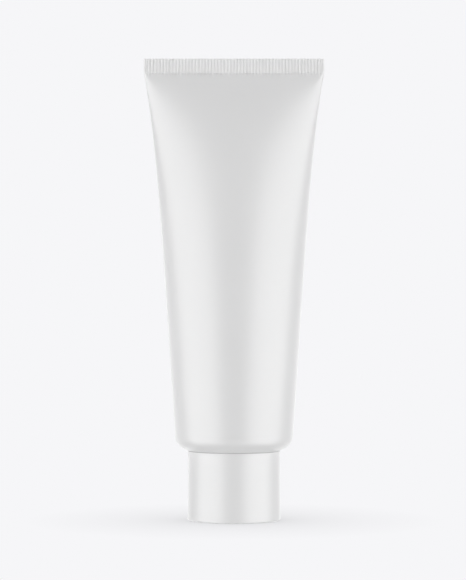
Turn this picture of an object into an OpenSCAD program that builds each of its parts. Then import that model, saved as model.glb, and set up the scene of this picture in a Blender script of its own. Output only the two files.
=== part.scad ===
// Squeeze tube for shaving cream, standing on its screw cap.
// The origin is the middle of the cap's base, +Z up, +X along the flat sealed end.

/* [Tube sleeve] */
// Outside diameter of the sleeve's round end
tube_d = 40.6; // [34:0.1:50]
// Height from the shoulder's edge to the crimp line
sleeve_h = 125; // [80:0.1:180]
// Thickness of the sleeve's wall
wall = 0.5; // [0.35:0.05:0.8]
// Width of the flat sealed end
crimp_w = 62.1; // [54:0.1:90]
// How much of that width flares out just below the crimp, on each side
flare_w = 2.7; // [0.5:0.1:4]
// Height over which the flare dies away
flare_h = 22; // [10:1:40]
// How long the sleeve stays deep before it closes to the crimp
fullness = 4; // [2:0.1:5]

/* [Crimp] */
// Height of the sealed crimp
crimp_h = 4.9; // [3:0.1:9]
// Ribs pressed into each face
crimp_ribs = 54; // [30:1:70]
// Depth of the grooves between the ribs
rib_depth = 0.2; // [0.08:0.01:0.2]
// Plain margin at each end of the ribs
crimp_margin = 1.2; // [0.3:0.1:2]

/* [Shoulder] */
// Slope of the shoulder above the flat
shoulder_angle = 29.5; // [15:0.5:45]
// Radius of the shoulder's outer edge
shoulder_fillet = 4.2; // [1:0.1:6]
// Thickness of the moulded shoulder
shoulder_t = 1.4; // [1:0.1:1.8]
// Height of the spigot welded inside the sleeve
spigot_h = 3; // [1.5:0.1:6]

/* [Neck] */
// Height of the neck below the shoulder's flat
neck_h = 9.6; // [8:0.1:12]
// Diameter of the neck between the threads
neck_d = 15.8; // [13:0.1:19]
// How far the thread stands out from the neck
thread_h = 0.95; // [0.7:0.05:1.2]
// Rise of the thread in one turn
thread_pitch = 3.175; // [2.8:0.005:4]
// Turns of thread on the neck
thread_turns = 1.5; // [1:0.1:1.6]
// Bore of the neck
neck_bore_d = 12.4; // [9:0.1:12.6]
// Thickness of the neck's closed end
neck_end_t = 1.5; // [1:0.1:3]
// Diameter of the hole that the cream leaves by
orifice_d = 7; // [3:0.1:8]

/* [Cap] */
// Diameter of the cap at its closed end
cap_d = 32; // [26:0.1:38]
// Height of the cap
cap_h = 23.9; // [19:0.1:32]
// How much narrower the cap is at its rim, on each side
cap_draft = 0.15; // [0:0.05:0.5]
// Thickness of the cap's outer wall
cap_wall = 1.2; // [0.9:0.1:1.5]
// Thickness of the cap's closed end
cap_end_t = 1.6; // [1:0.1:3]
// Radius of the closed end's outer edge
cap_base_r = 0.7; // [0.2:0.1:1]
// Radius of the rim's outer edge
cap_rim_r = 0.35; // [0.1:0.05:0.5]
// Width of the ring that the cap stands on
stand_w = 1.8; // [1:0.1:4]
// Depth of the hollow inside that ring
recess_h = 0.4; // [0.2:0.1:0.8]
// Gap between the cap's rim and the shoulder
cap_gap = 0.1; // [0.1:0.05:0.8]

/* [Cap insert] */
// Thickness of the threaded socket's wall
socket_wall = 1.5; // [1:0.1:1.8]
// Thickness of the socket's floor
socket_floor_t = 1.5; // [1:0.1:2.5]
// Thickness of the flange at the socket's mouth
flange_t = 1.2; // [0.8:0.1:2]
// How far the flange sits below the cap's rim
flange_drop = 0.9; // [0.8:0.1:2]
// Fins that stand the insert on the cap's closed end
fin_count = 6; // [4:2:8]
// Thickness of a fin
fin_t = 1; // [0.8:0.1:1.6]
// How far the keys beside each fin stand out from the cap's wall
key_h = 0.7; // [0.4:0.1:0.9]
// Width of a key
key_w = 0.8; // [0.6:0.1:1.2]
// How far the snap bead above the flange stands out
bead_h = 0.3; // [0.15:0.05:0.4]

/* [Seals and cream] */
// Thickness of the loose liner in the cap
liner_t = 1; // [0.6:0.1:1.5]
// Thickness of the foil over the neck
foil_t = 0.1; // [0.08:0.01:0.2]
// Height of the empty space between the cream and the crimp
headspace_h = 12; // [6:1:30]

/* [Clearances] */
// Gap between pieces that are pressed or welded together
fit_gap = 0.1; // [0.05:0.01:0.2]
// Gap around the thread, across and along it
thread_gap = 0.25; // [0.2:0.01:0.3]
// Gap around the cream
cream_gap = 0.1; // [0.05:0.01:0.2]

/* [Hidden] */
$fn = 96;

// Small overlap where a cut runs past a face or a lump runs into a wall
past = 0.5;
// Sides and rings of the sleeve's loft
loft_sides = 72;
loft_rings = 18;
// Steps in one turn of thread, and the part of a turn over which each end fades
thread_steps = 48;
thread_fade = 0.12;

tube_r = tube_d / 2;
crimp_t = 2 * wall;

// Heights, from the cap's base up
z_floor = recess_h + cap_end_t;
z_land = cap_h + cap_gap;
z_rim = z_land - neck_h;
z_foil = z_rim - foil_t;
z_tab = z_foil - foil_t;
z_liner = z_tab - liner_t;
z_socket = z_liner - socket_floor_t;
z_mouth = cap_h - flange_drop;

// Shoulder: the flat reaches just past the cap, and the fillet is limited by what is left of the slope
land_r = cap_d / 2 - cap_draft + fit_gap;
fillet_room = (tube_r - land_r) / (1 - sin(shoulder_angle));
fillet_r = min(shoulder_fillet, 0.98 * fillet_room);
tangent_r = tube_r - fillet_r * (1 - sin(shoulder_angle));
z_sleeve = z_land + (tangent_r - land_r) * tan(shoulder_angle) + fillet_r * cos(shoulder_angle);
z_crimp = z_sleeve + sleeve_h;
spigot_r = tube_r - wall - fit_gap;

// Thread: the neck's ridge and the socket's ridge share the pitch, and each leaves the gap free
neck_r = neck_d / 2;
thread_r = neck_r + thread_h;
socket_r = thread_r + thread_gap;
socket_thread_r = neck_r + thread_gap;
ridge_root = (thread_pitch - thread_gap) * 0.64;
ridge_crest = (thread_pitch - thread_gap) * 0.34;
z_thread = z_rim + ridge_root / 2 + 0.9;

// Half width and half depth of the sleeve, where t runs from 0 at the shoulder to 1 at the crimp line
flare_rest = exp(-sleeve_h / flare_h);
taper_w = crimp_w / 2 - tube_r - flare_w * (1 - flare_rest);
function half_w(t) = tube_r + taper_w * t + flare_w * (exp((t - 1) * sleeve_h / flare_h) - flare_rest);
function half_d(t) = crimp_t / 2 + (tube_r - crimp_t / 2) * (1 - pow(t, fullness));
// The round section squares up over the last few millimetres, to meet the flat crimp
function squareness(t) = 2 + 8 * pow(t, 40);

function power(v, p) = sign(v) * pow(abs(v), p);
function section(a, b, n, z) =
    [for (i = [0 : loft_sides - 1])
        let (turn = 360 * i / loft_sides)
        [a * power(cos(turn), 2 / n), b * power(sin(turn), 2 / n), z]];
function sleeve_ring(t, inset) =
    section(half_w(t) - inset, half_d(t) - inset, squareness(t), z_sleeve + sleeve_h * t);
function between(a, b, n, i) = a + (b - a) * sin(90 * i / n);

// A closed solid through rings of points, each ring anticlockwise as seen from the last one
module loft(rings) {
    m = len(rings[0]);
    last = len(rings) - 1;
    points = [for (ring = rings) each ring];
    sides = [for (i = [0 : last - 1], j = [0 : m - 1])
        let (k = (j + 1) % m, low = i * m, high = low + m)
        each [[low + j, high + j, high + k], [low + j, high + k, low + k]]];
    foot = [[for (j = [0 : m - 1]) j]];
    head_face = [[for (j = [m - 1 : -1 : 0]) last * m + j]];
    polyhedron(points = points, faces = concat(foot, sides, head_face));
}

// One ridge of the thread from z_from to z_to, between two radii, its turning set by z_zero
module ridge(z_from, z_to, z_zero, r_in, r_out, w_in, w_out, crest_out) {
    turns = (z_to - z_from) / thread_pitch;
    steps = ceil(turns * thread_steps);
    r_root = crest_out ? r_in : r_out;
    loft([for (i = [0 : steps])
        let (s = i / steps,
             z = z_from + s * (z_to - z_from),
             turn = 360 * (z - z_zero) / thread_pitch,
             rise = min(1, min(s, 1 - s) * turns / thread_fade),
             a = crest_out ? r_in : r_out - (r_out - r_in) * rise,
             b = crest_out ? r_in + (r_out - r_in) * rise : r_out,
             wall_in = crest_out ? fit_gap : 0.01,
             wall_out = crest_out ? 0.01 : fit_gap)
        [for (corner = [[a - wall_in, -w_in / 2], [a - wall_in, w_in / 2],
                        [b + wall_out, w_out / 2], [b + wall_out, -w_out / 2]])
            [corner[0] * cos(turn), corner[0] * sin(turn), z + corner[1]]]]);
}

// Half section of all that the shoulder encloses up to z_top, with its surface moved inwards by inset
module shoulder_fill(inset, z_top) {
    corner_r = land_r - inset * tan(shoulder_angle / 2);
    edge_r = fillet_r - inset;
    centre = [tube_r - fillet_r, z_sleeve];
    slope = [sin(shoulder_angle), -cos(shoulder_angle)];
    tangent = edge_r > 0 ? centre + edge_r * slope : centre - [inset - fillet_r, 0];
    intersection() {
        union() {
            polygon([[0, z_land + inset], [corner_r, z_land + inset], tangent,
                     [tube_r - inset, z_sleeve], [tube_r - inset, z_top + past], [0, z_top + past]]);
            if (edge_r > 0) {
                translate(centre) circle(r = edge_r);
            }
        }
        translate([0, z_land]) square([tube_r, z_top - z_land]);
    }
}

module head_section() {
    difference() {
        union() {
            shoulder_fill(0, z_sleeve);
            translate([0, z_sleeve - past]) square([spigot_r, spigot_h + past]);
            translate([0, z_rim]) square([neck_r, neck_h + shoulder_t / 2]);
        }
        shoulder_fill(shoulder_t, z_sleeve + spigot_h + past);
        translate([0, z_rim + neck_end_t]) square([neck_bore_d / 2, neck_h + past]);
        translate([0, z_rim - past]) square([orifice_d / 2, neck_end_t + 2 * past]);
    }
}

module head() {
    color("white") {
        rotate_extrude() head_section();
        ridge(z_thread, z_thread + thread_turns * thread_pitch, 0, neck_r, thread_r, ridge_root, ridge_crest, true);
    }
}

module crimp_bar() {
    ribbed_w = crimp_w - 2 * crimp_margin;
    pitch = ribbed_w / crimp_ribs;
    crest = crimp_t / 2;
    groove = crest - rib_depth;
    front = [for (i = [0 : crimp_ribs - 1])
        let (x = -ribbed_w / 2 + i * pitch)
        each [[x, -groove], [x + 0.2 * pitch, -crest], [x + 0.7 * pitch, -crest], [x + 0.9 * pitch, -groove]]];
    back = [for (i = [len(front) - 1 : -1 : 0]) [front[i][0], -front[i][1]]];
    end = crimp_w / 2;
    outline = concat([[-end, -groove]], front, [[end, -groove], [end, groove]], back, [[-end, groove]]);
    translate([0, 0, z_crimp]) linear_extrude(crimp_h) polygon(outline);
}

module sleeve() {
    nose = section(crimp_w / 2 - wall, crimp_t / 2 - 2 * rib_depth, squareness(1), z_crimp + past);
    outer = [for (i = [0 : loft_rings]) sleeve_ring(between(0, 1, loft_rings, i), 0)];
    foot = section(tube_r - wall, tube_r - wall, 2, z_sleeve - past);
    t_fused = 1 - past / sleeve_h;
    inner = [for (i = [0 : loft_rings]) sleeve_ring(between(0, t_fused, loft_rings, i), wall)];
    color("white") {
        difference() {
            loft(concat(outer, [nose]));
            loft(concat([foot], inner));
        }
        crimp_bar();
    }
}

module cream_fill() {
    inset = wall + cream_gap;
    t_foot = (spigot_h + cream_gap) / sleeve_h;
    t_level = 1 - headspace_h / sleeve_h;
    z_foot = z_sleeve + sleeve_h * t_foot;
    bore_r = neck_bore_d / 2 - cream_gap;
    z_bore = z_rim + neck_end_t + cream_gap;
    color("mintcream") {
        rotate_extrude() {
            shoulder_fill(shoulder_t + cream_gap, z_foot + past);
            translate([0, z_bore]) square([bore_r, z_land + shoulder_t + past - z_bore]);
            translate([0, z_rim + cream_gap]) square([orifice_d / 2 - cream_gap, neck_end_t + past]);
        }
        loft([for (i = [0 : loft_rings]) sleeve_ring(between(t_foot, t_level, loft_rings, i), inset)]);
    }
}

// The peel-off foil, with its half-moon tab folded flat beneath it
module orifice_seal() {
    tab_r = neck_r - 2 * fit_gap;
    color("silver") {
        translate([0, 0, z_foil]) cylinder(h = foil_t, r = neck_r);
        intersection() {
            translate([0, 0, z_tab]) cylinder(h = foil_t, r = tab_r);
            translate([-tab_r, fit_gap, z_tab]) cube([2 * tab_r, tab_r, foil_t]);
        }
    }
}

module cap_liner() {
    color("whitesmoke") translate([0, 0, z_liner]) cylinder(h = liner_t, r = socket_r - fit_gap);
}

// Radius of the cap's inner wall at height z
function shell_r(z) = cap_d / 2 - cap_wall - cap_draft * z / cap_h;

module cap_shell_section() {
    base = cap_d / 2;
    rim = base - cap_draft;
    difference() {
        union() {
            polygon([[0, 0], [base - cap_base_r, 0], [base, cap_base_r], [rim, cap_h - cap_rim_r],
                     [rim - cap_rim_r, cap_h], [0, cap_h]]);
            translate([base - cap_base_r, cap_base_r]) circle(r = cap_base_r);
            translate([rim - cap_rim_r, cap_h - cap_rim_r]) circle(r = cap_rim_r);
        }
        polygon([[0, z_floor], [shell_r(z_floor), z_floor], [shell_r(cap_h), cap_h + past], [0, cap_h + past]]);
        translate([0, -past]) square([base - cap_base_r - stand_w, past + recess_h]);
    }
    bead_foot = z_mouth + fit_gap / 2;
    bead_top = cap_h - fit_gap;
    inner = shell_r(z_mouth);
    polygon([[inner + bead_h, bead_foot], [inner - bead_h, (bead_foot + bead_top) / 2], [inner + bead_h, bead_top]]);
}

module cap_shell() {
    key_top = z_mouth - flange_t - fit_gap;
    key_in = shell_r(key_top) - key_h;
    color("white") {
        rotate_extrude() cap_shell_section();
        for (i = [0 : fin_count - 1], side = [-1, 1]) {
            rotate(360 * i / fin_count)
                translate([key_in, side * (fin_t / 2 + fit_gap + key_w / 2) - key_w / 2, z_floor - fit_gap])
                    cube([key_h + cap_wall / 2, key_w, key_top - z_floor + fit_gap]);
        }
    }
}

module cap_insert() {
    socket_out = socket_r + socket_wall;
    flange_r = shell_r(z_mouth) - fit_gap;
    z_flange = z_mouth - flange_t;
    thread_foot = z_liner + liner_t + ridge_root / 2 + thread_gap;
    thread_top = z_mouth - ridge_root / 2;
    color("white") {
        difference() {
            union() {
                translate([0, 0, z_socket]) cylinder(h = z_mouth - z_socket, r = socket_out);
                translate([0, 0, z_flange]) cylinder(h = flange_t, r = flange_r);
                for (i = [0 : fin_count / 2 - 1]) {
                    rotate(360 * i / fin_count)
                        translate([-flange_r, -fin_t / 2, z_floor])
                            cube([2 * flange_r, fin_t, z_flange + fit_gap - z_floor]);
                }
            }
            translate([0, 0, z_liner]) cylinder(h = z_mouth, r = socket_r);
        }
        ridge(thread_foot, thread_top, thread_pitch / 2, socket_thread_r, socket_r, ridge_crest, ridge_root, false);
    }
}

cap_shell();
cap_insert();
cap_liner();
orifice_seal();
head();
sleeve();
cream_fill();
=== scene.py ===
"""A squeeze tube of shaving cream standing on its screw cap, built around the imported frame."""

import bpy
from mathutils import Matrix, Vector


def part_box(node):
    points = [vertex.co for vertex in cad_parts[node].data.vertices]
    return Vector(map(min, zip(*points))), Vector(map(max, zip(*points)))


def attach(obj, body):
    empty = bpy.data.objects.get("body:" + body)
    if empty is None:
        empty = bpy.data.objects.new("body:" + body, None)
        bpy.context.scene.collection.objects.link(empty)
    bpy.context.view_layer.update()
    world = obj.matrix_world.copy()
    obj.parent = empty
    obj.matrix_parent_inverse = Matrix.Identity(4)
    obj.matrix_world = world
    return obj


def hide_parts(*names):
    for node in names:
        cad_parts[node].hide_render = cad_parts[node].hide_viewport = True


bl_info = {
    "name": "Shaving Cream Tube",
    "version": (1, 0, 0),
    "blender": (4, 5, 0),
    "location": "View3D > Sidebar > Tube",
    "description": "Builds a ribbed squeeze tube, its threaded head, its seal and its screw cap",
    "category": "Add Mesh",
}

import math

import bmesh
import bpy
from bpy.props import FloatProperty, FloatVectorProperty, IntProperty, PointerProperty
from bpy.types import Operator, Panel, PropertyGroup
from mathutils import Matrix, Vector

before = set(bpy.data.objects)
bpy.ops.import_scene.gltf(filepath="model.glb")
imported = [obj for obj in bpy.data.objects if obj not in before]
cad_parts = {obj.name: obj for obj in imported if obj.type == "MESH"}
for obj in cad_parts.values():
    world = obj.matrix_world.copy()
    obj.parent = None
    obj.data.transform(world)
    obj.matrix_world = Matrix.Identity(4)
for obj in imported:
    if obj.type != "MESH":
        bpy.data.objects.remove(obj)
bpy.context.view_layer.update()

MM = 0.001
PALE = (0.9216, 0.9216, 0.9387)


def top_of(node):
    """Height of a CAD node's highest point."""
    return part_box(node)[1].z


def foot_of(node):
    """Height of a CAD node's lowest point."""
    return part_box(node)[0].z


def radius_of(node):
    """Half of a CAD node's width along X."""
    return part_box(node)[1].x


# Sizes shared by neighbouring pieces, in metres, all read from the frame
TUBE_R = radius_of("head")
CRIMP_HALF = radius_of("sleeve")
SLEEVE_FOOT = foot_of("sleeve")
SLEEVE_TOP = top_of("sleeve")
NECK_RIM = foot_of("head")
NECK_R = radius_of("orifice_seal")
CAP_R = radius_of("cap_shell")
CAP_TOP = top_of("cap_shell")
CAP_FLOOR = foot_of("cap_insert")
SOCKET_TOP = top_of("cap_insert")
FLANGE_R = radius_of("cap_insert")
LINER_R = radius_of("cap_liner")
LINER_FOOT = foot_of("cap_liner")
LINER_TOP = top_of("cap_liner")

# The ridge that the neck and the socket have in common: its root's share of the free pitch, its crest's
# share of the root, how deep it is sunk in the wall, and the part of a turn over which an end fades
ROOT_SHARE = 0.64
CREST_SHARE = 0.53
THREAD_SINK = 0.15 * MM
THREAD_FADE = 0.12
THREAD_START = 0.9 * MM  # plain neck between the rim and the thread

# How late the sleeve's section turns from an oval into a flat band
SQUARING = 40

# Soft edges of the lights, each as the angle of its middle and its width, in degrees
BOX_SIDE_SOFTNESS = (6, 4)
BOX_END_SOFTNESS = (16, 12)
WALL_SIDE = (143, 56)
WALL_END = (45, 15)
BELOW_EDGE = (50, 60)
ABOVE_EDGE = (55, 24)


# ---------------------------------------------------------------- settings


def size(name, description, millimetres):
    """A length property whose default is given in millimetres."""
    return FloatProperty(
        name=name, description=description, default=millimetres * MM, unit="LENGTH", precision=5
    )


def amount(name, description, default):
    """A plain number property that can't go below nothing."""
    return FloatProperty(name=name, description=description, default=default, min=0.0)


def angle(name, description, degrees):
    """An angle property whose default is given in degrees."""
    return FloatProperty(
        name=name, description=description, default=math.radians(degrees), subtype="ANGLE"
    )


def colour(name, description, default):
    """A colour property."""
    return FloatVectorProperty(
        name=name, description=description, default=default, size=3, min=0.0, max=1.0, subtype="COLOR"
    )


class TubeSettings(PropertyGroup):
    """Sizes and colours of the sleeve, the head, the seal and the cream."""

    wall: size("Wall", "Thickness of the sleeve's wall", 0.5)
    flare_width: size("Flare width", "How far each side flares out below the crimp", 2.7)
    flare_height: size("Flare height", "Height over which the flare dies away", 22.0)
    fullness: amount("Fullness", "How long the sleeve stays deep before it closes", 4.0)
    crimp_height: size("Crimp height", "Height of the flat sealed end", 4.9)
    crimp_margin: size("Crimp margin", "Plain strip at each end of the ribs", 1.2)
    rib_count: IntProperty(
        name="Ribs", description="Ribs across each face of the crimp", default=54, min=10, max=90
    )
    rib_depth: size("Rib depth", "Depth of the grooves between the ribs", 0.2)
    rib_fade: size("Rib fade", "Height over which the grooves run out below the crimp", 2.0)
    shoulder_angle: angle("Shoulder angle", "Slope of the shoulder", 29.5)
    shoulder_fillet: size("Shoulder fillet", "Radius of the shoulder's outer edge", 4.2)
    shoulder_thickness: size("Shoulder thickness", "Thickness of the moulded shoulder", 1.4)
    spigot_height: size("Spigot height", "Height of the ring welded inside the sleeve", 3.0)
    cap_gap: size("Cap gap", "Gap between the cap's rim and the shoulder's flat", 0.1)
    seat_drop: size("Seat drop", "How far the shoulder's seat comes down to meet the cap's rim", 0.07)
    neck_bore: size("Neck bore", "Diameter of the neck's bore", 12.4)
    neck_end: size("Neck end", "Thickness of the neck's closed end", 1.5)
    orifice: size("Orifice", "Diameter of the hole that the cream leaves by", 7.0)
    thread_pitch: size("Thread pitch", "Rise of the thread in one turn", 3.175)
    thread_turns: amount("Thread turns", "Turns of thread on the neck", 1.5)
    thread_height: size("Thread height", "How far the thread stands out", 0.95)
    headspace: size("Headspace", "Empty height between the cream and the crimp", 12.0)
    plastic: colour("Plastic", "Colour of the sleeve and the head", (0.72, 0.72, 0.723))
    foil: colour("Foil", "Colour of the seal's foil", (0.78, 0.78, 0.79))
    cream: colour("Cream", "Colour of the cream", (0.9, 0.9, 0.875))


class CapSettings(PropertyGroup):
    """Sizes and colours of the cap's cup, socket and liner."""

    wall: size("Wall", "Thickness of the cup's wall", 1.2)
    draft: size("Draft", "How much narrower the cup is at its rim, on each side", 0.15)
    base_edge: size("Base edge", "Radius of the edge that the cup stands on", 0.7)
    rim_edge: size("Rim edge", "Radius of the rim's outer edge", 0.35)
    stand_width: size("Stand width", "Width of the ring that the cup stands on", 1.8)
    recess: size("Recess", "Depth of the hollow inside that ring", 0.4)
    flange: size("Flange", "Thickness of the socket's flange", 1.2)
    socket_wall: size("Socket wall", "Thickness of the socket's wall and floor", 1.5)
    thread_gap: size("Thread gap", "Gap around the thread", 0.25)
    fins: IntProperty(
        name="Fins", description="Fins that stand the socket on the cup", default=6, min=3, max=12
    )
    fin_thickness: size("Fin thickness", "Thickness of a fin", 1.0)
    key_width: size("Key width", "Width of the keys beside each fin", 0.8)
    key_height: size("Key height", "How far a key stands out from the cup's wall", 0.7)
    bead: size("Snap bead", "How far the bead above the flange stands out", 0.3)
    fit: size("Fit", "Gap between pieces that are pressed together", 0.1)
    plastic: colour("Plastic", "Colour of the cup", (0.72, 0.72, 0.723))
    socket_plastic: colour("Socket plastic", "Colour of the socket", (0.76, 0.76, 0.75))
    foam: colour("Foam", "Colour of the liner", (0.82, 0.82, 0.8))


class StudioSettings(PropertyGroup):
    """Camera, floor and light."""

    camera_distance: size("Camera distance", "From the tube's axis to the camera", 900.0)
    camera_height: size("Camera height", "Height of the level camera", 79.2)
    camera_side: size("Camera side", "How far the camera stands to the side", -0.34)
    view_height: size("View height", "Height of what the camera sees at the tube's axis", 199.7)
    floor_size: size("Floor size", "Side of the square floor", 600.0)
    shadow: amount("Shadow", "Depth of the contact shadow on the floor", 0.4)
    shadow_reach: size("Shadow reach", "How far from the tube the floor is shaded", 58.0)
    softbox: amount("Softboxes", "Brightness of the two side softboxes", 2.1)
    softbox_front: angle("Softbox front", "Where each softbox starts, round from the camera", 26.3)
    softbox_rear: angle("Softbox rear", "Where each softbox ends, round from the camera", 99.8)
    softbox_low: angle("Softbox low", "How far each softbox reaches below level", -47)
    softbox_high: angle("Softbox high", "How far each softbox reaches above level", 42)
    backlight: amount("Backlight", "Brightness of the lit wall behind the tube", 1.55)
    bounce: amount("Bounce", "Brightness of the light that comes up from below", 0.28)
    overhead: amount("Overhead", "Brightness of the light from straight above", 0.5)


# ---------------------------------------------------------------- mesh helpers


def soften(corners, step=math.radians(11)):
    """Round an outline's corners. Each corner is (radius from the axis, height, fillet radius)."""
    outline = []
    count = len(corners)
    for i, (r, z, fillet) in enumerate(corners):
        here = Vector((r, z))
        if fillet <= 0:
            outline.append(here)
            continue
        to_last = Vector(corners[i - 1][:2]) - here
        to_next = Vector(corners[(i + 1) % count][:2]) - here
        back, ahead = to_last.normalized(), to_next.normalized()
        opening = back.angle(ahead)
        reach = fillet / math.tan(opening / 2)
        centre = here + (back + ahead).normalized() * (fillet / math.sin(opening / 2))
        arm = here + back * reach - centre
        sweep = math.pi - opening
        turn = -1 if back.cross(ahead) > 0 else 1
        steps = max(3, round(sweep / step))
        # A point just past each end of the arc keeps the faces beside it flat under smooth shading
        extra = reach + 0.1 * fillet
        if extra < 0.9 * to_last.length:
            outline.append(here + back * extra)
        for k in range(steps + 1):
            outline.append(centre + Matrix.Rotation(turn * sweep * k / steps, 2) @ arm)
        if extra < 0.9 * to_next.length:
            outline.append(here + ahead * extra)
    apart = [outline[0]]
    for spot in outline[1:]:
        if (spot - apart[-1]).length > 0.002 * MM:
            apart.append(spot)
    return [tuple(spot) for spot in apart]


def lathe(outline, steps=160):
    """Vertices and faces of an outline turned round Z.

    An outline that starts and ends on the axis gets poles, and any other one closes on itself.
    """
    verts, faces = [], []
    poles = outline[0][0] == 0 and outline[-1][0] == 0
    body = outline[1:-1] if poles else outline
    for r, z in body:
        for k in range(steps):
            bearing = 2 * math.pi * k / steps
            verts.append((r * math.cos(bearing), r * math.sin(bearing), z))
    rows = len(body)
    for i in range(rows - 1 if poles else rows):
        low, high = i * steps, (i + 1) % rows * steps
        for k in range(steps):
            n = (k + 1) % steps
            faces.append((low + k, low + n, high + n, high + k))
    if poles:
        for row, (_, z) in ((0, outline[0]), (rows - 1, outline[-1])):
            verts.append((0, 0, z))
            pole = len(verts) - 1
            faces += [(row * steps + k, row * steps + (k + 1) % steps, pole) for k in range(steps)]
    return verts, faces


def face_outwards(mesh):
    """Turn the faces of closed shells outwards."""
    work = bmesh.new()
    work.from_mesh(mesh)
    bmesh.ops.recalc_face_normals(work, faces=work.faces)
    work.to_mesh(mesh)
    work.free()
    return mesh


def plain_mesh(name, *shells):
    """A mesh from closed shells of vertices and faces, with its faces turned outwards."""
    verts, faces = [], []
    for shell_verts, shell_faces in shells:
        start = len(verts)
        verts += shell_verts
        faces += [tuple(start + i for i in face) for face in shell_faces]
    mesh = bpy.data.meshes.new(name)
    mesh.from_pydata(verts, [], faces)
    return face_outwards(mesh)


def new_object(name, mesh):
    """An object at the origin, linked to the scene."""
    piece = bpy.data.objects.new(name, mesh)
    bpy.context.scene.collection.objects.link(piece)
    return piece


def new_piece(name, *shells):
    """An object made of closed shells."""
    return new_object(name, plain_mesh(name, *shells))


def shade(mesh, sharp_angle=40):
    """Shade smooth, with edges sharper than the angle kept crisp."""
    mesh.shade_smooth()
    mesh.set_sharp_from_angle(angle=math.radians(sharp_angle))


def settle(piece, material, body, slot, *nodes):
    """Give a finished piece its material, and let it stand for its CAD nodes and ride on their body."""
    if not piece.data.polygons:
        raise RuntimeError(f"{piece.name} came out empty")
    piece.data.materials.clear()
    piece.data.materials.append(material)
    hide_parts(*nodes)
    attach(piece, body)


# ---------------------------------------------------------------- node helpers


def node(tree, kind, inputs=None, **settings_of):
    """Add a node, set its options, and fill or link its inputs."""
    made = tree.nodes.new(kind)
    for key, value in settings_of.items():
        setattr(made, key, value)
    for key, value in (inputs or {}).items():
        socket = made.inputs[key]
        if isinstance(value, bpy.types.NodeSocket):
            tree.links.new(value, socket)
        else:
            socket.default_value = value
    return made


def maths(tree, operation, *values):
    """The output of a Math node."""
    return node(tree, "ShaderNodeMath", dict(enumerate(values)), operation=operation).outputs[0]


def smooth(tree, value, low, high, start=0.0, end=1.0):
    """A soft step from start at low to end at high."""
    inputs = {"Value": value, "From Min": low, "From Max": high, "To Min": start, "To Max": end}
    return node(tree, "ShaderNodeMapRange", inputs, interpolation_type="SMOOTHSTEP").outputs[0]


def geometry_tree(name, **labels):
    """An empty Geometry Nodes tree that takes a geometry, the labelled inputs and a material."""
    tree = bpy.data.node_groups.new(name, "GeometryNodeTree")
    kinds = {"Geometry": ("Geometry",), **labels, "Material": ("Material",)}
    for kind, names in kinds.items():
        for label in names:
            tree.interface.new_socket(label, in_out="INPUT", socket_type="NodeSocket" + kind)
    tree.interface.new_socket("Geometry", in_out="OUTPUT", socket_type="NodeSocketGeometry")
    return tree, tree.nodes.new("NodeGroupInput").outputs


def end_tree(tree, geometry, material):
    """Close a tree with Realize Instances and Set Material."""
    real = node(tree, "GeometryNodeRealizeInstances", {"Geometry": geometry}).outputs[0]
    done = node(tree, "GeometryNodeSetMaterial", {"Geometry": real, "Material": material}).outputs[0]
    node(tree, "NodeGroupOutput", {"Geometry": done})


def grown(piece, tree, values):
    """Run a Geometry Nodes tree on a piece and keep the result as its plain mesh."""
    modifier = piece.modifiers.new(tree.name, "NODES")
    modifier.node_group = tree
    for item in tree.interface.items_tree:
        if item.item_type == "SOCKET" and item.in_out == "INPUT" and item.name in values:
            modifier[item.identifier] = values[item.name]
    graph = bpy.context.evaluated_depsgraph_get()
    mesh = bpy.data.meshes.new_from_object(piece.evaluated_get(graph))
    piece.modifiers.remove(modifier)
    piece.data = face_outwards(mesh)
    return piece


# ---------------------------------------------------------------- materials


def grain_group():
    """Fine moulded grain: a height for the bump, a change in roughness and a faint change in tint."""
    known = bpy.data.node_groups.get("Moulded grain")
    if known:
        return known
    tree = bpy.data.node_groups.new("Moulded grain", "ShaderNodeTree")
    defaults = {"Grain per metre": 6000.0, "Roughness": 0.4, "Roughness change": 0.04, "Tint change": 0.02}
    for label, default in defaults.items():
        made = tree.interface.new_socket(label, in_out="INPUT", socket_type="NodeSocketFloat")
        made.default_value = default
    for label in ("Height", "Roughness", "Tint"):
        tree.interface.new_socket(label, in_out="OUTPUT", socket_type="NodeSocketFloat")
    given = tree.nodes.new("NodeGroupInput").outputs
    place = node(tree, "ShaderNodeTexCoord").outputs["Object"]
    grain = {"Vector": place, "Scale": given["Grain per metre"], "Detail": 2.0}
    patches = {"Vector": place, "Scale": 45.0, "Detail": 3.0, "Roughness": 0.55}
    fine = node(tree, "ShaderNodeTexNoise", grain)
    broad = node(tree, "ShaderNodeTexNoise", patches)
    swing = maths(tree, "SUBTRACT", broad.outputs[0], 0.5)
    rough = maths(tree, "MULTIPLY_ADD", swing, given["Roughness change"], given["Roughness"])
    tint = maths(tree, "MULTIPLY_ADD", swing, given["Tint change"], 1.0)
    node(tree, "NodeGroupOutput", {"Height": fine.outputs[0], "Roughness": rough, "Tint": tint})
    return tree


def new_material(name):
    """An empty node material and its Principled shader."""
    material = bpy.data.materials.new(name)
    material.use_nodes = True
    return material, material.node_tree, material.node_tree.nodes["Principled BSDF"]


def tinted(tree, base, tint):
    """A colour scaled by a tint value."""
    inputs = {0: 1.0, 6: (*base, 1.0), 7: tint}
    return node(tree, "ShaderNodeMix", inputs, data_type="RGBA", blend_type="MULTIPLY").outputs[2]


def wire(tree, shader, sockets):
    """Link outputs to the shader's sockets."""
    for name, output in sockets.items():
        tree.links.new(output, shader.inputs[name])


def relief_of(tree, height, strength, distance, invert=False):
    """The normal of a surface roughened by a height."""
    inputs = {"Height": height, "Strength": strength, "Distance": distance}
    return node(tree, "ShaderNodeBump", inputs, invert=invert).outputs["Normal"]


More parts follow.
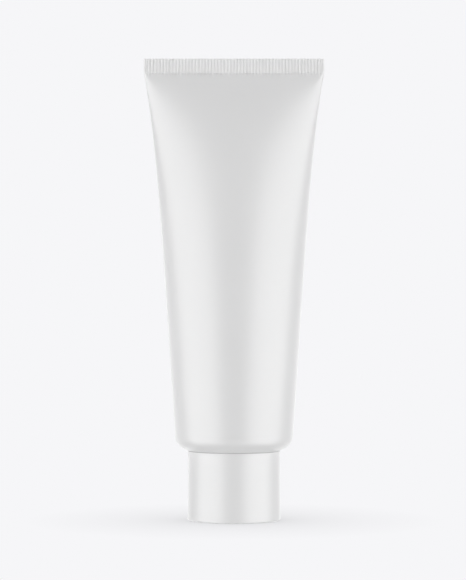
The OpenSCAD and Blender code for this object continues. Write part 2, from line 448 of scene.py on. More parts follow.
def plastic(name, base, roughness, grain, bump, specular=0.5):
    """Moulded or drawn plastic with a fine grain."""
    material, tree, shader = new_material(name)
    inputs = {
        "Grain per metre": grain,
        "Roughness": roughness,
        "Roughness change": 0.05,
        "Tint change": 0.03,
    }
    skin = tree.nodes.new("ShaderNodeGroup")
    skin.node_tree = grain_group()
    for label, value in inputs.items():
        skin.inputs[label].default_value = value
    wire(tree, shader, {
        "Base Color": tinted(tree, base, skin.outputs["Tint"]),
        "Roughness": skin.outputs["Roughness"],
        "Normal": relief_of(tree, skin.outputs["Height"], bump, 0.1 * MM),
    })
    shader.inputs["Specular IOR Level"].default_value = specular
    return material


def foil_material(base):
    """Lacquered aluminium foil with a fine pressed pattern."""
    material, tree, shader = new_material("Seal foil")
    place = node(tree, "ShaderNodeTexCoord").outputs["Object"]
    dimples = node(tree, "ShaderNodeTexVoronoi", {"Vector": place, "Scale": 1400.0}, feature="SMOOTH_F1")
    creases = node(tree, "ShaderNodeTexNoise", {"Vector": place, "Scale": 260.0, "Detail": 4.0})
    height = maths(tree, "ADD", dimples.outputs["Distance"], creases.outputs[0])
    wire(tree, shader, {
        "Roughness": smooth(tree, creases.outputs[0], 0.3, 0.7, 0.26, 0.4),
        "Normal": relief_of(tree, height, 0.35, 0.1 * MM),
    })
    shader.inputs["Base Color"].default_value = (*base, 1.0)
    shader.inputs["Metallic"].default_value = 1.0
    return material


def foam_material(base):
    """Closed-cell foam with fine cells, and painted shade in the grooves between them."""
    material, tree, shader = new_material("Liner foam")
    place = node(tree, "ShaderNodeTexCoord").outputs["Object"]
    cells = node(tree, "ShaderNodeTexVoronoi", {"Vector": place, "Scale": 3800.0}, feature="F1")
    edge = cells.outputs["Distance"]
    # Painted shade: the base colour darkens towards the cell edges, where the inverted bump sinks them
    # into grooves
    wire(tree, shader, {
        "Base Color": tinted(tree, base, smooth(tree, edge, 0.1, 0.9, 1.0, 0.93)),
        "Roughness": smooth(tree, edge, 0.0, 0.8, 0.7, 0.85),
        "Normal": relief_of(tree, edge, 0.5, 0.1 * MM, invert=True),
    })
    return material


def cream_material(base):
    """Thick, glossy cream with soft folds and faint painted shade in their hollows."""
    material, tree, shader = new_material("Shaving cream")
    place = node(tree, "ShaderNodeTexCoord").outputs["Object"]
    swirl = {"Vector": place, "Scale": 180.0, "Detail": 2.0, "Distortion": 0.6}
    folds = node(tree, "ShaderNodeTexNoise", swirl).outputs[0]
    # Painted shade: the base colour darkens slightly in the low parts of the folds, where the bump sinks
    wire(tree, shader, {
        "Base Color": tinted(tree, base, smooth(tree, folds, 0.2, 0.8, 0.97, 1.0)),
        "Roughness": smooth(tree, folds, 0.3, 0.7, 0.28, 0.38),
        "Normal": relief_of(tree, folds, 0.3, 0.6 * MM),
    })
    shader.inputs["Subsurface Weight"].default_value = 0.4
    shader.inputs["Subsurface Radius"].default_value = (0.003, 0.0027, 0.0024)
    return material


# ---------------------------------------------------------------- the sleeve's shape


def sleeve_height(tube):
    """Height from the shoulder's edge to the crimp line."""
    return SLEEVE_TOP - tube.crimp_height - SLEEVE_FOOT


def half_width(tube, t):
    """Half width of the sleeve, where t runs from 0 at the shoulder to 1 at the crimp line."""
    rise = sleeve_height(tube) / tube.flare_height
    rest = math.exp(-rise)
    taper = CRIMP_HALF - TUBE_R - tube.flare_width * (1 - rest)
    return TUBE_R + taper * t + tube.flare_width * (math.exp((t - 1) * rise) - rest)


def half_depth(tube, t):
    """Half depth of the sleeve at t."""
    return tube.wall + (TUBE_R - tube.wall) * (1 - t ** tube.fullness)


def eased(i, count, start=0.0, end=1.0):
    """Evenly counted steps that crowd together towards the end."""
    return start + (end - start) * math.sin(0.5 * math.pi * i / count)


def even_spread(columns):
    """Evenly spaced widths, to one side and back, as shares of the half width."""
    half = columns // 2
    front = [1 - 2 * k / half for k in range(half)]
    return front + [-share for share in front]


def ribbed_spread(tube, cuts=8, end_cuts=6):
    """Widths with the same cuts in every rib, crowding together at the two ends."""
    margin = tube.crimp_margin / CRIMP_HALF
    ribbed = 1 - margin
    count = cuts * tube.rib_count
    outside = [eased(end_cuts - j, end_cuts, ribbed) for j in range(end_cuts)]
    ribs = [ribbed * (1 - 2 * k / count) for k in range(count + 1)]
    front = outside + ribs + [-share for share in outside[:0:-1]]
    return front + [-share for share in front]


def section(spread, a, b, evenness, squareness, z):
    """One ring of the sleeve, from an ellipse at squareness 0 to a flat band with round ends at 1.

    Its columns go from even angles to the widths in spread as evenness goes from 0 to 1.
    """
    ring = []
    columns = len(spread)
    for k, by_width in enumerate(spread):
        by_angle = math.cos(2 * math.pi * k / columns)
        across = by_angle + (by_width - by_angle) * evenness
        past_flat = max(0.0, (abs(across) * a - (a - b)) / b)
        oval = math.sqrt(max(0.0, 1 - across ** 2))
        band = math.sqrt(max(0.0, 1 - past_flat ** 2))
        side = b if 2 * k < columns else -b
        ring.append((a * across, side * (oval + (band - oval) * squareness), z))
    return ring


def sleeve_ring(tube, spread, t, inset=0.0):
    """The sleeve's section at t, moved inwards by inset."""
    a = half_width(tube, t) - inset
    b = half_depth(tube, t) - inset
    return section(spread, a, b, t * t, t ** SQUARING, SLEEVE_FOOT + sleeve_height(tube) * t)


def skin(rings):
    """Vertices and faces of rings of equal length, closed at both ends by strips from front to back."""
    columns = len(rings[0])
    verts = [v for ring in rings for v in ring]
    faces = []
    for i in range(len(rings) - 1):
        low, high = i * columns, (i + 1) * columns
        for k in range(columns):
            n = (k + 1) % columns
            faces.append((low + k, low + n, high + n, high + k))
    half = columns // 2
    for base in (0, (len(rings) - 1) * columns):
        for k in range(1, half - 1):
            faces.append((base + k, base + k + 1, base + columns - k - 1, base + columns - k))
        faces.append((base, base + 1, base + columns - 1))
        faces.append((base + half - 1, base + half, base + half + 1))
    return verts, faces


def crimp_tree():
    """Press upright grooves into both faces of a flat crimp, running out below it."""
    sizes = ("Ribs", "Ribbed width", "Groove depth", "Crimp foot", "Fade height")
    tree, given = geometry_tree("Crimp ribs", Float=sizes)
    position = node(tree, "GeometryNodeInputPosition").outputs[0]
    place = node(tree, "ShaderNodeSeparateXYZ", {0: position}).outputs
    half = maths(tree, "MULTIPLY", given["Ribbed width"], 0.5)
    pitch = maths(tree, "DIVIDE", given["Ribbed width"], given["Ribs"])
    start = maths(tree, "ADD", place["X"], half)
    away = maths(tree, "PINGPONG", maths(tree, "DIVIDE", start, pitch), 0.5)
    # A flat groove takes half of each pitch, and a rib with a sharp crest the other half
    groove = maths(tree, "MINIMUM", maths(tree, "MULTIPLY_ADD", away, -4.0, 2.0), 1.0)
    limit = maths(tree, "MULTIPLY_ADD", pitch, 0.1, half)
    inside = maths(tree, "LESS_THAN", maths(tree, "ABSOLUTE", place["X"]), limit)
    fade_foot = maths(tree, "SUBTRACT", given["Crimp foot"], given["Fade height"])
    height = smooth(tree, place["Z"], fade_foot, given["Crimp foot"])
    depth = maths(tree, "MULTIPLY", maths(tree, "MULTIPLY", groove, height), given["Groove depth"])
    inwards = maths(tree, "MULTIPLY", maths(tree, "SIGN", place["Y"]), -1.0)
    offset_y = maths(tree, "MULTIPLY", maths(tree, "MULTIPLY", depth, inside), inwards)
    offset = node(tree, "ShaderNodeCombineXYZ", {"Y": offset_y}).outputs[0]
    inputs = {"Geometry": given["Geometry"], "Offset": offset}
    moved = node(tree, "GeometryNodeSetPosition", inputs).outputs[0]
    end_tree(tree, moved, given["Material"])
    return tree


def ring_tree():
    """Set a bar upright all round a circle, each copy turned to face out."""
    sizes = ("Radius", "Turn", "Middle height")
    tree, given = geometry_tree("Bars in a ring", Int=("Copies",), Float=sizes, Vector=("Size",))
    bar = node(tree, "GeometryNodeMeshCube", {"Size": given["Size"]}).outputs["Mesh"]
    spots = node(tree, "GeometryNodePoints", {"Count": given["Copies"]}).outputs[0]
    index = node(tree, "GeometryNodeInputIndex").outputs[0]
    share = maths(tree, "DIVIDE", index, given["Copies"])
    bearing = maths(tree, "MULTIPLY_ADD", share, 2 * math.pi, given["Turn"])
    x = maths(tree, "MULTIPLY", maths(tree, "COSINE", bearing), given["Radius"])
    y = maths(tree, "MULTIPLY", maths(tree, "SINE", bearing), given["Radius"])
    spot = node(tree, "ShaderNodeCombineXYZ", {"X": x, "Y": y, "Z": given["Middle height"]}).outputs[0]
    placed = node(tree, "GeometryNodeSetPosition", {"Geometry": spots, "Position": spot}).outputs[0]
    facing = node(tree, "ShaderNodeCombineXYZ", {"Z": bearing}).outputs[0]
    copies = node(
        tree, "GeometryNodeInstanceOnPoints", {"Points": placed, "Instance": bar, "Rotation": facing}
    ).outputs[0]
    joined = node(tree, "GeometryNodeJoinGeometry")
    tree.links.new(given["Geometry"], joined.inputs[0])
    tree.links.new(copies, joined.inputs[0])
    end_tree(tree, joined.outputs[0], given["Material"])
    return tree


def ridge_tree():
    """Wind a tapered ridge round Z as a thread, sunk a little into the wall and fading at both ends."""
    sizes = ("Wall radius", "Crest radius", "Sink", "Root width", "Crest width")
    sizes += ("Foot", "Head", "Pitch", "Zero height", "Fade turns")
    tree, given = geometry_tree("Thread ridge", Float=sizes)
    grid_size = {"Size X": 1.0, "Size Y": 1.0, "Vertices X": 240, "Vertices Y": 15}
    grid = node(tree, "GeometryNodeMeshGrid", grid_size).outputs["Mesh"]
    position = node(tree, "GeometryNodeInputPosition").outputs[0]
    place = node(tree, "ShaderNodeSeparateXYZ", {0: position}).outputs
    along = maths(tree, "ADD", place["X"], 0.5)
    side = maths(tree, "MULTIPLY", place["Y"], 2.0)
    rise = maths(tree, "SUBTRACT", given["Head"], given["Foot"])
    turns = maths(tree, "DIVIDE", rise, given["Pitch"])
    nearer_end = maths(tree, "MINIMUM", along, maths(tree, "SUBTRACT", 1.0, along))
    from_end = maths(tree, "MULTIPLY", nearer_end, turns)
    swell = smooth(tree, maths(tree, "DIVIDE", from_end, given["Fade turns"]), 0.0, 1.0)
    width_share = maths(tree, "DIVIDE", given["Crest width"], given["Root width"])
    crest_share = maths(tree, "MULTIPLY", width_share, 0.8)
    flank = smooth(tree, maths(tree, "ABSOLUTE", side), crest_share, 1.0, 1.0, 0.0)
    half = maths(tree, "MULTIPLY", given["Root width"], 0.5)
    middle = maths(tree, "MULTIPLY_ADD", along, rise, given["Foot"])
    z = maths(tree, "MULTIPLY_ADD", side, half, middle)
    past_zero = maths(tree, "SUBTRACT", middle, given["Zero height"])
    bearing = maths(tree, "MULTIPLY", maths(tree, "DIVIDE", past_zero, given["Pitch"]), 2 * math.pi)
    outwards = maths(tree, "SIGN", maths(tree, "SUBTRACT", given["Crest radius"], given["Wall radius"]))
    sunk = maths(tree, "SUBTRACT", given["Wall radius"], maths(tree, "MULTIPLY", outwards, given["Sink"]))
    reach = maths(tree, "SUBTRACT", given["Crest radius"], sunk)
    joined = node(tree, "GeometryNodeJoinGeometry")
    # The crest's sheet and the sunk sheet share their edges, so together they close
    for height in (maths(tree, "MULTIPLY", swell, flank), 0.0):
        radius = maths(tree, "MULTIPLY_ADD", height, reach, sunk)
        x = maths(tree, "MULTIPLY", maths(tree, "COSINE", bearing), radius)
        y = maths(tree, "MULTIPLY", maths(tree, "SINE", bearing), radius)
        wound = node(tree, "ShaderNodeCombineXYZ", {"X": x, "Y": y, "Z": z}).outputs[0]
        sheet = node(tree, "GeometryNodeSetPosition", {"Geometry": grid, "Position": wound}).outputs[0]
        tree.links.new(sheet, joined.inputs[0])
    inputs = {"Geometry": joined.outputs[0], "Distance": 0.0005 * MM}
    ridge = node(tree, "GeometryNodeMergeByDistance", inputs)
    both = node(tree, "GeometryNodeJoinGeometry")
    tree.links.new(given["Geometry"], both.inputs[0])
    tree.links.new(ridge.outputs[0], both.inputs[0])
    end_tree(tree, both.outputs[0], given["Material"])
    return tree


def ridge_root(tube, cap):
    """Width of a thread's ridge at its root."""
    return (tube.thread_pitch - cap.thread_gap) * ROOT_SHARE


def wind_thread(piece, tube, cap, material, radii, heights, zero_height):
    """Add a thread to a piece, from its wall's radius to its crest's and from its foot to its top."""
    root = ridge_root(tube, cap)
    grown(piece, ridge_tree(), {
        "Wall radius": radii[0],
        "Crest radius": radii[1],
        "Sink": THREAD_SINK,
        "Root width": root,
        "Crest width": root * CREST_SHARE,
        "Foot": heights[0],
        "Head": heights[1],
        "Pitch": tube.thread_pitch,
        "Zero height": zero_height,
        "Fade turns": THREAD_FADE,
        "Material": material,
    })


def shell_radius(cap, z):
    """Radius of the cup's inner wall at a height."""
    return CAP_R - cap.wall - cap.draft * z / CAP_TOP


def half_moon(radius, chord, foot, top, steps=40):
    """A thin half disc with rounded corners, between two heights, on the far side of its chord."""
    corner = 0.08 * radius
    outline = []
    first = math.asin((chord + corner) / (radius - corner))
    for side in (1, -1):
        centre = Vector((side * (radius - corner) * math.cos(first), chord + corner))
        angles = [first + (-math.pi / 2 - first) * k / 8 for k in range(9)]
        arc = [centre + corner * Vector((side * math.cos(a), math.sin(a))) for a in angles]
        outline += arc[::-1] if side > 0 else arc
        if side > 0:
            span = math.pi - 2 * first
            outline += [radius * Vector((math.cos(a), math.sin(a))) for a in
                        (first + span * k / steps for k in range(1, steps))]
    count = len(outline)
    verts = [(p.x, p.y, z) for z in (foot, top) for p in outline]
    faces = [tuple(range(count)), tuple(range(2 * count - 1, count - 1, -1))]
    faces += [(k, (k + 1) % count, count + (k + 1) % count, count + k) for k in range(count)]
    return verts, faces


# ---------------------------------------------------------------- stage


def place_camera(scene, studio):
    """A level camera in front of the tube, with nothing out of focus."""
    lens = bpy.data.cameras.new("Camera")
    lens.sensor_fit = "VERTICAL"
    lens.sensor_height = 36.0
    lens.lens = lens.sensor_height * studio.camera_distance / studio.view_height
    lens.clip_start = 0.01
    lens.clip_end = 100.0
    camera = bpy.data.objects.new("Camera", lens)
    camera.location = (studio.camera_side, -studio.camera_distance, studio.camera_height)
    camera.rotation_euler = (math.radians(90), 0, 0)
    scene.collection.objects.link(camera)
    scene.camera = camera


def lay_floor(studio):
    """A pale floor that melts into the backdrop, with a soft contact shadow painted into its glow."""
    half = studio.floor_size / 2
    mesh = bpy.data.meshes.new("floor")
    corners = [(-half, -half, 0), (half, -half, 0), (half, half, 0), (-half, half, 0)]
    mesh.from_pydata(corners, [], [(0, 1, 2, 3)])
    floor = new_object("floor", mesh)
    material = bpy.data.materials.new("Pale floor")
    material.use_nodes = True
    tree = material.node_tree
    tree.nodes.clear()
    # The floor glows as evenly as the backdrop, less a painted shadow where the tube closes it off around
    # its foot
    reach = {"Distance": studio.shadow_reach}
    open_share = node(tree, "ShaderNodeAmbientOcclusion", reach, samples=16).outputs["AO"]
    shadow = maths(tree, "MULTIPLY_ADD", open_share, studio.shadow, 1.0 - studio.shadow)
    lit = node(tree, "ShaderNodeEmission", {"Color": (*PALE, 1), "Strength": shadow}).outputs[0]
    # Only a camera above sees it, so that the softboxes reach below it and the tube shows from underneath
    ray = node(tree, "ShaderNodeLightPath").outputs["Is Camera Ray"]
    underneath = node(tree, "ShaderNodeNewGeometry").outputs["Backfacing"]
    seen = maths(tree, "MULTIPLY", ray, maths(tree, "SUBTRACT", 1.0, underneath))
    clear = node(tree, "ShaderNodeBsdfTransparent").outputs[0]
    mix = node(tree, "ShaderNodeMixShader", {0: seen, 1: clear, 2: lit}).outputs[0]
    node(tree, "ShaderNodeOutputMaterial", {"Surface": mix})
    mesh.materials.append(material)


def light_world(scene, studio):
    """An even backdrop for the camera, and soft light all round the tube for everything else."""
    world = bpy.data.worlds.new("Studio")
    world.use_nodes = True
    scene.world = world
    tree = world.node_tree
    tree.nodes.clear()
    look = node(tree, "ShaderNodeTexCoord").outputs["Generated"]
    way = node(tree, "ShaderNodeSeparateXYZ", {0: look}).outputs
    front = maths(tree, "MULTIPLY", way["Y"], -1.0)
    turn = maths(tree, "ARCTAN2", maths(tree, "ABSOLUTE", way["X"]), front)
    climb = maths(tree, "ARCSINE", way["Z"])

    def edge(value, middle, softness, start, end):
        """A soft step from start to end, centred on middle and spread over softness in degrees."""
        half = math.radians(softness) / 2
        return smooth(tree, value, middle - half, middle + half, start, end)

    def fixed_edge(value, place, start, end):
        """A soft step whose middle and softness are both given in degrees."""
        return edge(value, math.radians(place[0]), place[1], start, end)

    # Two tall softboxes, one on each side
    box = edge(turn, studio.softbox_front, BOX_SIDE_SOFTNESS[0], 0, 1)
    rear = edge(turn, studio.softbox_rear, BOX_SIDE_SOFTNESS[1], 1, 0)
    low = edge(climb, studio.softbox_low, BOX_END_SOFTNESS[0], 0, 1)
    high = edge(climb, studio.softbox_high, BOX_END_SOFTNESS[1], studio.softbox, 0)
    for limit in (rear, low, high):
        box = maths(tree, "MULTIPLY", box, limit)
    # A lit wall behind the tube, as tall above level as below it
    wall = fixed_edge(turn, WALL_SIDE, 0, studio.backlight)
    off_level = maths(tree, "ABSOLUTE", climb)
    wall = maths(tree, "MULTIPLY", wall, fixed_edge(off_level, WALL_END, 1, 0))
    # Weaker light from below and from straight above
    below = fixed_edge(maths(tree, "MULTIPLY", climb, -1.0), BELOW_EDGE, 0, studio.bounce)
    above = fixed_edge(climb, ABOVE_EDGE, 0, studio.overhead)
    light = maths(tree, "ADD", maths(tree, "ADD", box, wall), maths(tree, "ADD", below, above))
    seen = node(tree, "ShaderNodeBackground", {"Color": (*PALE, 1), "Strength": 1.0})
    unseen = node(tree, "ShaderNodeBackground", {"Color": (1, 1, 1, 1), "Strength": light})
    ray = node(tree, "ShaderNodeLightPath").outputs["Is Camera Ray"]
    mix = node(tree, "ShaderNodeMixShader", {0: ray, 1: unseen.outputs[0], 2: seen.outputs[0]})
    node(tree, "ShaderNodeOutputWorld", {"Surface": mix.outputs[0]})


# ---------------------------------------------------------------- operators


class TUBE_OT_sleeve(Operator):
    """Build the squeezed-flat sleeve with its ribbed crimp"""

    bl_idname = "tube.sleeve"
    bl_label = "Sleeve"

    def execute(self, context):
        tube = context.scene.tube_sizes
        rows, inner_rows = 62, 14
        spread = ribbed_spread(tube)
        crimp_foot = SLEEVE_TOP - tube.crimp_height
        outer = [sleeve_ring(tube, spread, eased(i, rows)) for i in range(rows + 1)]
        edge = 0.08 * MM
        levels = [crimp_foot + tube.crimp_height * share for share in (0.03, 0.08, 0.2, 0.5, 0.8)]
        for z in levels + [SLEEVE_TOP - edge]:
            outer.append(section(spread, CRIMP_HALF, tube.wall, 1, 1, z))
        outer.append(section(spread, CRIMP_HALF - edge, tube.wall - edge, 1, 1, SLEEVE_TOP))
        t_fused = 1 - tube.wall / sleeve_height(tube)
        steps = [eased(i, inner_rows, 0, t_fused) for i in range(inner_rows + 1)]
        inner = [sleeve_ring(tube, spread, t, tube.wall) for t in steps]
        mesh = plain_mesh("sleeve", skin(inner[::-1] + outer))
        piece = new_object("sleeve_skin", mesh)
        material = plastic("Sleeve plastic", tube.plastic, 0.38, grain=3500.0, bump=0.03, specular=1.0)
        grown(piece, crimp_tree(), {
            "Ribs": float(tube.rib_count),
            "Ribbed width": 2 * (CRIMP_HALF - tube.crimp_margin),
            "Groove depth": tube.rib_depth,
            "Crimp foot": crimp_foot,
            "Fade height": tube.rib_fade,
            "Material": material,
        })
        shade(piece.data, 20)
        settle(piece, material, "tube", "sleeve_plastic", "sleeve")
        return {"FINISHED"}


class TUBE_OT_head(Operator):
    """Build the shoulder and the threaded neck"""

    bl_idname = "tube.head"
    bl_label = "Shoulder and neck"

    def execute(self, context):
        tube = context.scene.tube_sizes
        cap = context.scene.cap_sizes
        land = CAP_TOP + tube.cap_gap
        land_r = CAP_R - cap.draft + cap.fit
        slope = math.tan(tube.shoulder_angle)
        wall = tube.shoulder_thickness
        spigot_r = TUBE_R - tube.wall - cap.fit
        spigot_top = SLEEVE_FOOT + tube.spigot_height
        inner_land_r = land_r - wall * math.tan(tube.shoulder_angle / 2)
        inner_r = TUBE_R - wall
        inner_edge = land + wall + (inner_r - inner_land_r) * slope
        bore = tube.neck_bore / 2
        rim_top = NECK_RIM + tube.neck_end
        seat = land - tube.seat_drop
        seat_in = CAP_R - cap.draft - cap.rim_edge
        corners = [
            (tube.orifice / 2, NECK_RIM, 0.2 * MM),
            (NECK_R, NECK_RIM, 0.3 * MM),
            (NECK_R, land, 0.5 * MM),
            (seat_in, land, 0),
            (seat_in + tube.seat_drop, seat, 0),
            (land_r - tube.seat_drop / slope, seat, 0.06 * MM),
            (TUBE_R, land + (TUBE_R - land_r) * slope, tube.shoulder_fillet),
            (TUBE_R, SLEEVE_FOOT, 0),
            (spigot_r, SLEEVE_FOOT, 0),
            (spigot_r, spigot_top, 0.3 * MM),
            (inner_r, spigot_top, 0.2 * MM),
            (inner_r, inner_edge, tube.shoulder_fillet - wall),
            (inner_land_r, land + wall, 0.6 * MM),
            (bore, land + wall, 0.8 * MM),
            (bore, rim_top, 0.4 * MM),
            (tube.orifice / 2, rim_top, 0.2 * MM),
        ]
        piece = new_piece("shoulder_and_neck", lathe(soften(corners), 192))
        material = plastic("Head plastic", tube.plastic, 0.38, grain=5000.0, bump=0.1, specular=1.0)
        foot = NECK_RIM + ridge_root(tube, cap) / 2 + THREAD_START
        top = foot + tube.thread_turns * tube.thread_pitch
        crest_r = NECK_R + tube.thread_height
        wind_thread(piece, tube, cap, material, (NECK_R, crest_r), (foot, top), 0.0)
        shade(piece.data)
        settle(piece, material, "tube", "head_plastic", "head")
        return {"FINISHED"}


class TUBE_OT_seal(Operator):
    """Build the peel-off foil and its half-moon tab"""

    bl_idname = "tube.seal"
    bl_label = "Foil seal"

    def execute(self, context):
        tube = context.scene.tube_sizes
        foil = foot_of("head") - foot_of("orifice_seal")
        bed = NECK_RIM - foil / 2
        over_hole = bed + 0.012 * MM
        over_rim = bed + 0.008 * MM
        bore = tube.neck_bore / 2
        hole = tube.orifice / 2
        corners = [
            (0, over_hole, 0),
            (hole, over_hole, 0.3 * MM),
            (hole + 0.4 * MM, bed, 0.3 * MM),
            (bore, bed, 0.1 * MM),
            (bore + 0.15 * MM, over_rim, 0.1 * MM),
            (NECK_R, over_rim, 0.01 * MM),
            (NECK_R, NECK_RIM, 0),
            (0, NECK_RIM, 0),
        ]
        disc = lathe(soften(corners), 128)
        tab_r = NECK_R - 0.2 * MM
        tab_top = bed - 0.004 * MM
        tab = half_moon(tab_r, 0.1 * MM, foot_of("orifice_seal"), tab_top)
        piece = new_piece("foil_seal", disc, tab)
        shade(piece.data, 30)
        settle(piece, foil_material(tube.foil), "tube", "seal_foil", "orifice_seal")
        return {"FINISHED"}


class TUBE_OT_cream(Operator):
    """Build the cream that fills the tube"""

    bl_idname = "tube.cream"
    bl_label = "Cream"

    def execute(self, context):
        tube = context.scene.tube_sizes
        gap = context.scene.cap_sizes.fit
        rows = 40
        spread = even_spread(224)
        inset = tube.wall + gap
        land = CAP_TOP + tube.cap_gap
        foot = foot_of("cream_fill")
        deep = tube.shoulder_thickness + gap
        slope = math.tan(tube.shoulder_angle)
        land_r = CAP_R - context.scene.cap_sizes.draft + gap - deep * math.tan(tube.shoulder_angle / 2)
        inner_r = TUBE_R - deep
        t_foot = (tube.spigot_height + gap) / sleeve_height(tube)
        t_level = 1 - tube.headspace / sleeve_height(tube)
        hole = tube.orifice / 2 - gap
        bore = tube.neck_bore / 2 - gap
        shelf = NECK_RIM + tube.neck_end + gap
        ledge = SLEEVE_FOOT + sleeve_height(tube) * t_foot
        corners = [
            (0, foot, 0),
            (hole, foot, 0.3 * MM),
            (hole, shelf, 0),
            (bore, shelf, 0.4 * MM),
            (bore, land + deep, 0.6 * MM),
            (land_r, land + deep, 0.6 * MM),
            (inner_r, land + deep + (inner_r - land_r) * slope, tube.shoulder_fillet - deep),
            (inner_r, ledge, 0),
            (0, ledge, 0),
        ]
        rings = [section(spread, r, r, 0, 0, z) for r, z in soften(corners)[1:-1]]
        steps = [eased(i, rows, t_foot, t_level) for i in range(rows + 1)]
        rings += [sleeve_ring(tube, spread, t, inset) for t in steps]
        level = rings[-1]
        dish = 1.2 * MM
        # The cream's level sinks towards its middle
        for share in (0.97, 0.9, 0.8, 0.65, 0.5, 0.35, 0.2, 0.08):
            sunk = dish * (1 - share) ** 1.5
            rings.append([(x * share, y * share, z - sunk) for x, y, z in level])
        piece = new_piece("cream", skin(rings))
        shade(piece.data, 60)
        settle(piece, cream_material(tube.cream), "tube", "cream", "cream_fill")
        return {"FINISHED"}


class TUBE_OT_cap(Operator):
    """Build the cap's outer cup with its keys and snap bead"""

    bl_idname = "tube.cap"
    bl_label = "Cap cup"

    def execute(self, context):
        cap = context.scene.cap_sizes
        rim_r = CAP_R - cap.draft
        hollow_r = CAP_R - cap.base_edge - cap.stand_width
        flange_top = SOCKET_TOP
        bead_foot = flange_top + cap.fit / 2
        bead_top = CAP_TOP - cap.fit
        bead_r = shell_radius(cap, flange_top)
        part = (bead_top - bead_foot) / 4
        corners = [
            (0, cap.recess, 0),
            (hollow_r, cap.recess, 0.15 * MM),
            (hollow_r, 0, 0.15 * MM),
            (CAP_R, 0, cap.base_edge),
            (rim_r, CAP_TOP, cap.rim_edge),
            (shell_radius(cap, CAP_TOP), CAP_TOP, 0.1 * MM),
            (bead_r, bead_top - part, 0.05 * MM),
            (bead_r - cap.bead, (bead_top + bead_foot) / 2, 0.12 * MM),
            (bead_r, bead_foot + part, 0.05 * MM),
            (shell_radius(cap, CAP_FLOOR), CAP_FLOOR, 0.5 * MM),
            (0, CAP_FLOOR, 0),
        ]
        piece = new_piece("cap_cup", lathe(soften(corners, math.radians(8)), 256))
        material = plastic("Cap plastic", cap.plastic, 0.38, grain=5000.0, bump=0.06, specular=1.0)
        key_top = SOCKET_TOP - cap.flange - cap.fit
        sunk = cap.key_height + cap.wall / 2
        inner = shell_radius(cap, key_top) - cap.key_height
        beside = cap.fin_thickness / 2 + cap.fit + cap.key_width / 2
        # The keys stand in pairs, one on each side of every fin
        for side in (-1, 1):
            grown(piece, ring_tree(), {
                "Copies": cap.fins,
                "Radius": inner + sunk / 2,
                "Turn": side * beside / inner,
                "Size": (sunk, cap.key_width, key_top - CAP_FLOOR + cap.fit),
                "Middle height": (key_top + CAP_FLOOR - cap.fit) / 2,
                "Material": material,
            })
        shade(piece.data)
        settle(piece, material, "cap", "cap_plastic", "cap_shell")
        return {"FINISHED"}


class TUBE_OT_socket(Operator):
    """Build the threaded socket that is pressed into the cup"""

    bl_idname = "tube.socket"
    bl_label = "Cap socket"

    def execute(self, context):
        tube = context.scene.tube_sizes
        cap = context.scene.cap_sizes
        bore = LINER_R + cap.fit
        outside = bore + cap.socket_wall
        under = SOCKET_TOP - cap.flange
        floor_foot = LINER_FOOT - cap.socket_wall
        corners = [
            (0, floor_foot, 0),
            (outside, floor_foot, 0.3 * MM),
            (outside, under, 0.3 * MM),
            (FLANGE_R, under, 0.15 * MM),
            (FLANGE_R, SOCKET_TOP, 0.25 * MM),
            (bore, SOCKET_TOP, 0.35 * MM),
            (bore, LINER_FOOT, 0.2 * MM),
            (0, LINER_FOOT, 0),
        ]
        piece = new_piece("cap_socket", lathe(soften(corners), 192))
        material = plastic("Socket plastic", cap.socket_plastic, 0.46, grain=5000.0, bump=0.12)
        # Full-depth fins under the socket, and shorter ones between its wall and the cup
        lower_top = floor_foot + 0.3 * MM
        upper_foot = floor_foot - 0.3 * MM
        spans = (
            (0.0, CAP_FLOOR, lower_top),
            (outside - 0.3 * MM, upper_foot, under + 0.3 * MM),
        )
        for start, low, high in spans:
            grown(piece, ring_tree(), {
                "Copies": cap.fins,
                "Radius": (start + FLANGE_R) / 2,
                "Turn": 0.0,
                "Size": (FLANGE_R - start - 0.02 * MM, cap.fin_thickness, high - low),
                "Middle height": (high + low) / 2,
                "Material": material,
            })
        root = ridge_root(tube, cap)
        foot = LINER_TOP + root / 2 + cap.thread_gap
        top = SOCKET_TOP - root / 2
        crest_r = NECK_R + cap.thread_gap
        wind_thread(piece, tube, cap, material, (bore, crest_r), (foot, top), tube.thread_pitch / 2)
        shade(piece.data)
        settle(piece, material, "cap", "insert_plastic", "cap_insert")
        return {"FINISHED"}


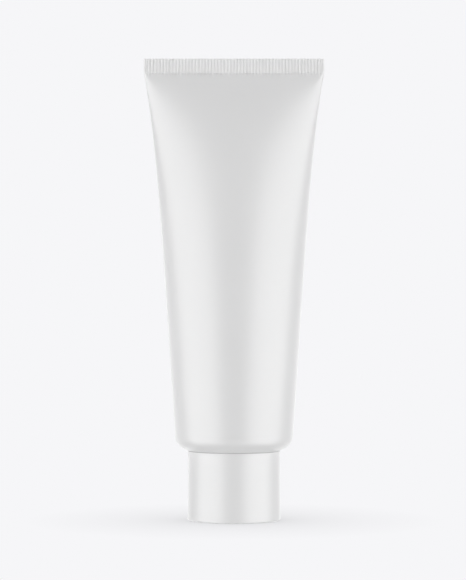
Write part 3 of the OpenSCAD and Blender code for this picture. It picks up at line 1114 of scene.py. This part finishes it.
class TUBE_OT_liner(Operator):
    """Build the foam disc that seals the cap against the neck"""

    bl_idname = "tube.liner"
    bl_label = "Liner"

    def execute(self, context):
        edge = 0.15 * MM
        corners = [
            (0, LINER_FOOT, 0),
            (LINER_R, LINER_FOOT, edge),
            (LINER_R, LINER_TOP, edge),
            (0, LINER_TOP, 0),
        ]
        piece = new_piece("foam_liner", lathe(soften(corners), 128))
        shade(piece.data)
        settle(piece, foam_material(context.scene.cap_sizes.foam), "liner", "liner_foam", "cap_liner")
        return {"FINISHED"}


class TUBE_OT_stage(Operator):
    """Set up the camera, the pale floor and the soft studio light"""

    bl_idname = "tube.stage"
    bl_label = "Stage"

    def execute(self, context):
        studio = context.scene.studio
        context.scene.view_settings.view_transform = "Standard"
        place_camera(context.scene, studio)
        lay_floor(studio)
        light_world(context.scene, studio)
        return {"FINISHED"}


# ---------------------------------------------------------------- panel and registration

STEPS = (
    TUBE_OT_stage,
    TUBE_OT_sleeve,
    TUBE_OT_head,
    TUBE_OT_seal,
    TUBE_OT_cream,
    TUBE_OT_cap,
    TUBE_OT_socket,
    TUBE_OT_liner,
)


class TUBE_PT_panel(Panel):
    """Lists the tube's operators and settings"""

    bl_idname = "TUBE_PT_panel"
    bl_label = "Shaving Cream Tube"
    bl_space_type = "VIEW_3D"
    bl_region_type = "UI"
    bl_category = "Tube"

    def draw(self, context):
        layout = self.layout
        for step in STEPS:
            layout.operator(step.bl_idname)
        for group in (context.scene.tube_sizes, context.scene.cap_sizes, context.scene.studio):
            box = layout.box()
            for name in group.bl_rna.properties.keys():
                if name not in ("rna_type", "name"):
                    box.prop(group, name)


CLASSES = (TubeSettings, CapSettings, StudioSettings) + STEPS + (TUBE_PT_panel,)


def register():
    """Register the classes and put the settings on the scene."""
    for entry in CLASSES:
        bpy.utils.register_class(entry)
    bpy.types.Scene.tube_sizes = PointerProperty(type=TubeSettings)
    bpy.types.Scene.cap_sizes = PointerProperty(type=CapSettings)
    bpy.types.Scene.studio = PointerProperty(type=StudioSettings)


def unregister():
    """Take everything off again."""
    del bpy.types.Scene.studio
    del bpy.types.Scene.cap_sizes
    del bpy.types.Scene.tube_sizes
    for entry in reversed(CLASSES):
        bpy.utils.unregister_class(entry)


def main():
    """Build every piece in order."""
    register()
    for step in STEPS:
        group, name = step.bl_idname.split(".")
        getattr(getattr(bpy.ops, group), name)()


if __name__ == "__main__":
    main()
